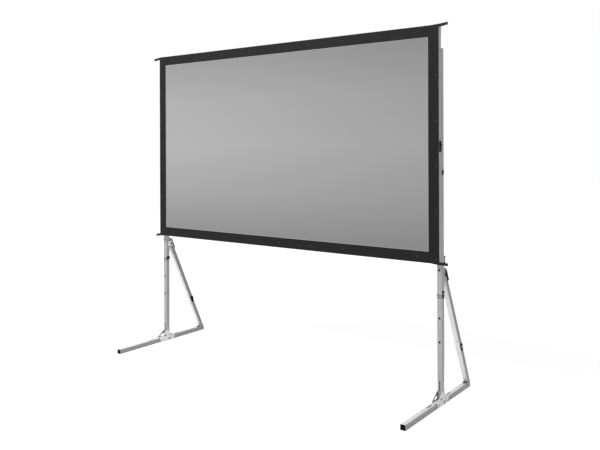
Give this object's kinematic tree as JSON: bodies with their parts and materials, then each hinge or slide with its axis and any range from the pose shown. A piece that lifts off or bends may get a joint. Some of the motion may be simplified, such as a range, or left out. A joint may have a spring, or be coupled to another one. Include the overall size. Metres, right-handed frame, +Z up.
{
  "type": "portable projection screen",
  "caption": "Portable projection screen: a grey surface with a black border snapped on a folding square-tube frame, held up by legs with long feet and folding rear braces.",
  "frame": {"origin": "on the floor, midway between the legs and under the middle of the feet", "axes": "+X to the right as the screen is seen from the front, +Y from the surface to the braces at the back, +Z up"},
  "size_m": [2.96, 1.032, 2.649],
  "materials": {
    "aluminium": "satin anodised",
    "black_metal": "black, satin",
    "black_fabric": "black woven border, matt",
    "screen_grey": "smooth matt projection surface",
    "bright_steel": "bright plated",
    "grey_plastic": "moulded, matt"
  },
  "bodies": {
    "left_side": {"left_side_tube_lower": "aluminium", "left_side_tube_upper": "aluminium", "left_side_hinge": "black_metal", "left_bottom_corner": "aluminium", "left_top_corner": "aluminium"},
    "surface": {"screen_border": "black_fabric", "screen_surface": "screen_grey"},
    "bottom_rail_1": {"bottom_rail_1": "aluminium"},
    "bottom_rail_2": {"bottom_rail_2": "aluminium"},
    "bottom_rail_3": {"bottom_rail_3": "aluminium"},
    "bottom_rail_4": {"bottom_rail_4": "aluminium"},
    "top_rail_1": {"top_rail_1": "aluminium"},
    "top_rail_2": {"top_rail_2": "aluminium"},
    "top_rail_3": {"top_rail_3": "aluminium"},
    "top_rail_4": {"top_rail_4": "aluminium"},
    "right_side": {"right_side_tube_lower": "aluminium", "right_side_tube_upper": "aluminium", "right_side_hinge": "black_metal", "right_bottom_corner": "aluminium", "right_top_corner": "aluminium"},
    "left_leg": {"left_leg_middle_tube": "aluminium", "left_leg_upper_hinge": "black_metal", "left_leg_lower_bracket": "black_metal", "left_brace_ear": "bright_steel"},
    "left_knob": {"left_leg_knob": "grey_plastic"},
    "left_leg_top": {"left_leg_top_tube": "aluminium", "left_leg_top_cap": "black_metal"},
    "left_leg_lock": {"left_leg_lock_pin": "bright_steel"},
    "left_leg_lower": {"left_leg_lower_tube": "aluminium", "left_foot_bracket": "aluminium"},
    "left_foot": {"left_foot_tube": "aluminium", "left_foot_front_cap": "black_metal", "left_foot_rear_cap": "black_metal", "left_foot_hinge": "black_metal"},
    "left_brace_lower": {"left_brace_lower_tube": "aluminium", "left_brace_knee": "black_metal"},
    "left_knee_lock": {"left_knee_lock_pin": "bright_steel"},
    "left_brace_upper": {"left_brace_upper_tube": "aluminium"},
    "left_latch": {"left_brace_latch": "black_metal"},
    "right_leg": {"right_leg_middle_tube": "aluminium", "right_leg_upper_hinge": "black_metal", "right_leg_lower_bracket": "black_metal", "right_brace_ear": "bright_steel"},
    "right_knob": {"right_leg_knob": "grey_plastic"},
    "right_leg_top": {"right_leg_top_tube": "aluminium", "right_leg_top_cap": "black_metal"},
    "right_leg_lock": {"right_leg_lock_pin": "bright_steel"},
    "right_leg_lower": {"right_leg_lower_tube": "aluminium", "right_foot_bracket": "aluminium"},
    "right_foot": {"right_foot_tube": "aluminium", "right_foot_front_cap": "black_metal", "right_foot_rear_cap": "black_metal", "right_foot_hinge": "black_metal"},
    "right_brace_lower": {"right_brace_lower_tube": "aluminium", "right_brace_knee": "black_metal"},
    "right_knee_lock": {"right_knee_lock_pin": "bright_steel"},
    "right_brace_upper": {"right_brace_upper_tube": "aluminium"},
    "right_latch": {"right_brace_latch": "black_metal"}
  },
  "joints": [
    {"name": "surface_unsnap", "type": "slide", "parent": "left_side", "child": "surface", "axis": [0, -1, 0], "range_m": [0, 0.15]},
    {"name": "frame_fold", "type": "hinge", "parent": "left_side", "child": "top_rail_1", "pos_m": [-1.3675, 0.007, 2.577], "axis": [0, 1, 0], "range_deg": [0, 86]},
    {"name": "top_rail_hinge_1", "type": "hinge", "parent": "top_rail_1", "child": "top_rail_2", "pos_m": [-0.69075, 0.007, 2.621], "axis": [0, 1, 0], "range_deg": [-172, 0]},
    {"name": "top_rail_hinge_2", "type": "hinge", "parent": "top_rail_2", "child": "top_rail_3", "pos_m": [-0.014, 0.007, 2.577], "axis": [0, 1, 0], "range_deg": [0, 172]},
    {"name": "top_rail_hinge_3", "type": "hinge", "parent": "top_rail_3", "child": "top_rail_4", "pos_m": [0.67675, 0.007, 2.621], "axis": [0, 1, 0], "range_deg": [-172, 0]},
    {"name": "right_side_hinge", "type": "hinge", "parent": "top_rail_4", "child": "right_side", "pos_m": [1.3675, 0.007, 2.577], "axis": [0, 1, 0], "range_deg": [0, 86]},
    {"name": "bottom_rail_hinge_0", "type": "hinge", "parent": "left_side", "child": "bottom_rail_1", "pos_m": [-1.3675, 0.007, 1.047], "axis": [0, 1, 0], "range_deg": [-86, 0]},
    {"name": "bottom_rail_hinge_1", "type": "hinge", "parent": "bottom_rail_1", "child": "bottom_rail_2", "pos_m": [-0.69075, 0.007, 1.003], "axis": [0, 1, 0], "range_deg": [0, 172]},
    {"name": "bottom_rail_hinge_2", "type": "hinge", "parent": "bottom_rail_2", "child": "bottom_rail_3", "pos_m": [-0.014, 0.007, 1.047], "axis": [0, 1, 0], "range_deg": [-172, 0]},
    {"name": "bottom_rail_hinge_3", "type": "hinge", "parent": "bottom_rail_3", "child": "bottom_rail_4", "pos_m": [0.67675, 0.007, 1.003], "axis": [0, 1, 0], "range_deg": [0, 172]},
    {"name": "left_leg_release", "type": "slide", "parent": "left_side", "child": "left_leg", "axis": [0, 1, 0], "range_m": [0, 0.06]},
    {"name": "left_knob_turn", "type": "hinge", "parent": "left_leg", "child": "left_knob", "pos_m": [-1.3895, 0.0643, 1.0015], "axis": [0, 1, 0], "continuous": true},
    {"name": "left_leg_lock", "type": "slide", "parent": "left_leg", "child": "left_leg_lock", "axis": [-1, 0, 0], "range_m": [0, 0.005], "stiffness_N_per_m": 400},
    {"name": "left_leg_top_fold", "type": "hinge", "parent": "left_leg", "child": "left_leg_top", "pos_m": [-1.4115, 0.0453, 1.627], "axis": [0, -1, 0], "range_deg": [0, 172]},
    {"name": "left_leg_fold", "type": "hinge", "parent": "left_leg", "child": "left_leg_lower", "pos_m": [-1.3675, 0.0453, 0.755], "axis": [0, 1, 0], "range_deg": [-100, 0]},
    {"name": "left_foot_fold", "type": "hinge", "parent": "left_leg_lower", "child": "left_foot", "pos_m": [-1.3895, -0.02, 0.019], "axis": [-1, 0, 0], "range_deg": [0, 90]},
    {"name": "left_brace_fold", "type": "hinge", "parent": "left_foot", "child": "left_brace_lower", "pos_m": [-1.3895, 0.46541, 0.041], "axis": [1, 0, 0], "range_deg": [0, 64]},
    {"name": "left_brace_knee_fold", "type": "hinge", "parent": "left_brace_lower", "child": "left_brace_upper", "pos_m": [-1.3895, 0.36382, 0.36009], "axis": [-1, 0, 0], "range_deg": [0, 180]},
    {"name": "left_knee_lock", "type": "slide", "parent": "left_brace_lower", "child": "left_knee_lock", "axis": [-1, 0, 0], "range_m": [0, 0.005], "stiffness_N_per_m": 400},
    {"name": "left_latch_lift", "type": "hinge", "parent": "left_brace_upper", "child": "left_latch", "pos_m": [-1.3895, 0.09481, 0.93972], "axis": [1, 0, 0], "range_deg": [0, 20]},
    {"name": "right_leg_release", "type": "slide", "parent": "right_side", "child": "right_leg", "axis": [0, 1, 0], "range_m": [0, 0.06]},
    {"name": "right_knob_turn", "type": "hinge", "parent": "right_leg", "child": "right_knob", "pos_m": [1.3895, 0.0643, 1.0015], "axis": [0, 1, 0], "continuous": true},
    {"name": "right_leg_lock", "type": "slide", "parent": "right_leg", "child": "right_leg_lock", "axis": [1, 0, 0], "range_m": [0, 0.005], "stiffness_N_per_m": 400},
    {"name": "right_leg_top_fold", "type": "hinge", "parent": "right_leg", "child": "right_leg_top", "pos_m": [1.4115, 0.0453, 1.627], "axis": [0, 1, 0], "range_deg": [0, 172]},
    {"name": "right_leg_fold", "type": "hinge", "parent": "right_leg", "child": "right_leg_lower", "pos_m": [1.3675, 0.0453, 0.755], "axis": [0, -1, 0], "range_deg": [-100, 0]},
    {"name": "right_foot_fold", "type": "hinge", "parent": "right_leg_lower", "child": "right_foot", "pos_m": [1.3895, -0.02, 0.019], "axis": [-1, 0, 0], "range_deg": [0, 90]},
    {"name": "right_brace_fold", "type": "hinge", "parent": "right_foot", "child": "right_brace_lower", "pos_m": [1.3895, 0.46541, 0.041], "axis": [1, 0, 0], "range_deg": [0, 64]},
    {"name": "right_brace_knee_fold", "type": "hinge", "parent": "right_brace_lower", "child": "right_brace_upper", "pos_m": [1.3895, 0.36382, 0.36009], "axis": [-1, 0, 0], "range_deg": [0, 180]},
    {"name": "right_knee_lock", "type": "slide", "parent": "right_brace_lower", "child": "right_knee_lock", "axis": [1, 0, 0], "range_m": [0, 0.005], "stiffness_N_per_m": 400},
    {"name": "right_latch_lift", "type": "hinge", "parent": "right_brace_upper", "child": "right_latch", "pos_m": [1.3895, 0.09481, 0.93972], "axis": [1, 0, 0], "range_deg": [0, 20]}
  ],
  "couplings": [
    {"joint": "top_rail_hinge_1", "follows": "frame_fold", "ratio": -2},
    {"joint": "top_rail_hinge_2", "follows": "frame_fold", "ratio": 2},
    {"joint": "top_rail_hinge_3", "follows": "frame_fold", "ratio": -2},
    {"joint": "right_side_hinge", "follows": "frame_fold", "ratio": 1},
    {"joint": "bottom_rail_hinge_0", "follows": "frame_fold", "ratio": -1},
    {"joint": "bottom_rail_hinge_1", "follows": "frame_fold", "ratio": 2},
    {"joint": "bottom_rail_hinge_2", "follows": "frame_fold", "ratio": -2},
    {"joint": "bottom_rail_hinge_3", "follows": "frame_fold", "ratio": 2},
    {"joint": "left_brace_knee_fold", "follows": "left_brace_fold", "ratio": 2.8},
    {"joint": "right_brace_knee_fold", "follows": "right_brace_fold", "ratio": 2.8}
  ]
}
